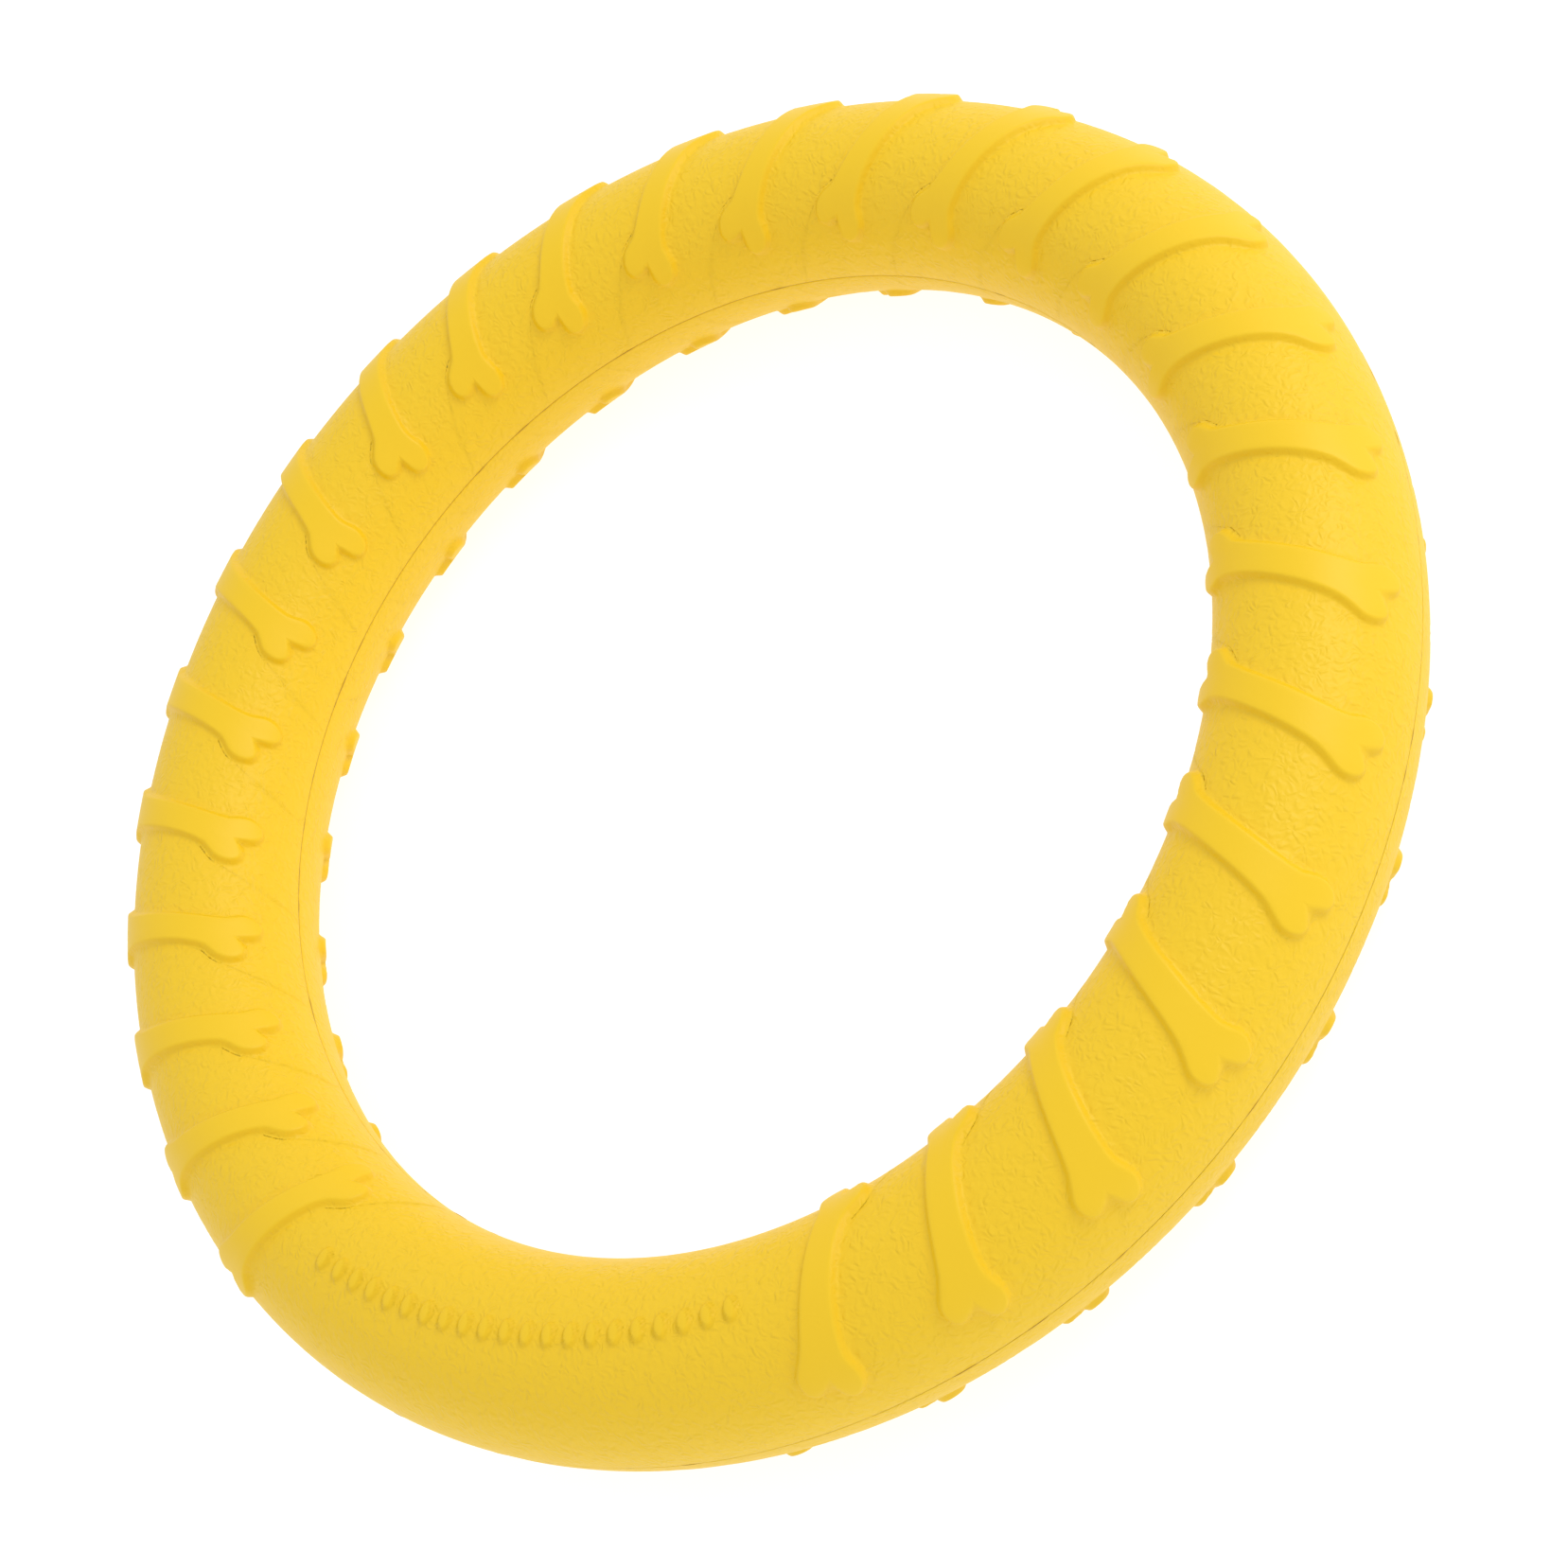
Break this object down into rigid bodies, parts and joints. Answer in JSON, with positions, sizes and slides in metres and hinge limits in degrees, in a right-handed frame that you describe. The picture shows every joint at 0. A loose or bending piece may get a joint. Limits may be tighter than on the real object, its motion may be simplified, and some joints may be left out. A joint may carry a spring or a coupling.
{
  "type": "foam throwing ring",
  "caption": "Thick, soft foam ring with slanting raised bone-shaped ribs on both faces, for throwing, rolling, catching and tugging; a plain stretch on the front carries a row of small raised pips.",
  "frame": {"origin": "centre of the ring, on the joint plane between its two halves", "axes": "+Z along the ring's axis towards the front half, -Y through the middle of the front half's plain stretch, +X to its right seen from the front"},
  "size_m": [0.28, 0.28, 0.0408],
  "materials": {
    "foam": "matte, fine leather-like grain",
    "adhesive": "satin"
  },
  "bodies": {
    "root": {"front_half": "foam", "rear_half": "foam", "waist_bond": "adhesive"}
  },
  "joints": []
}
